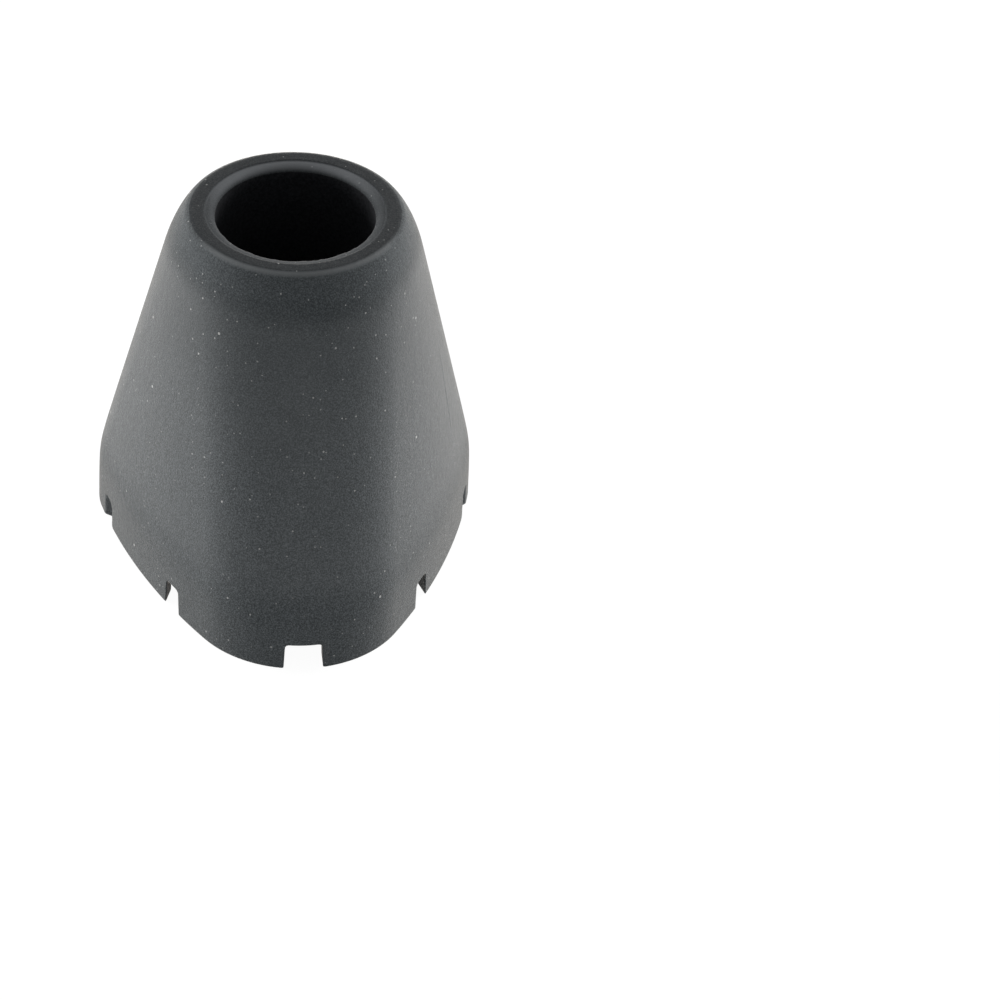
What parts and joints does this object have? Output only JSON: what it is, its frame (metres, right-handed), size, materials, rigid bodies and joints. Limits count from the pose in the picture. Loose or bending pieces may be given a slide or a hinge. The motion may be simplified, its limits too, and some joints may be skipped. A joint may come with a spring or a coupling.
{
  "type": "cane tip",
  "caption": "Tapered rubber foot that pushes onto the end of a cane's shaft, with a round socket and a treaded sole with three rounded corners.",
  "frame": {"origin": "on the socket's axis, in the plane of the sole that rests on the ground", "axes": "+Z along the socket's axis, out of its mouth; -Y towards the sole's longest corner; the YZ plane is a plane of symmetry"},
  "size_m": [0.0458, 0.0458, 0.0478],
  "materials": {
    "rubber": "matte, fine grained, with a light bloom"
  },
  "bodies": {
    "root": {"cane_tip": "rubber"}
  },
  "joints": []
}
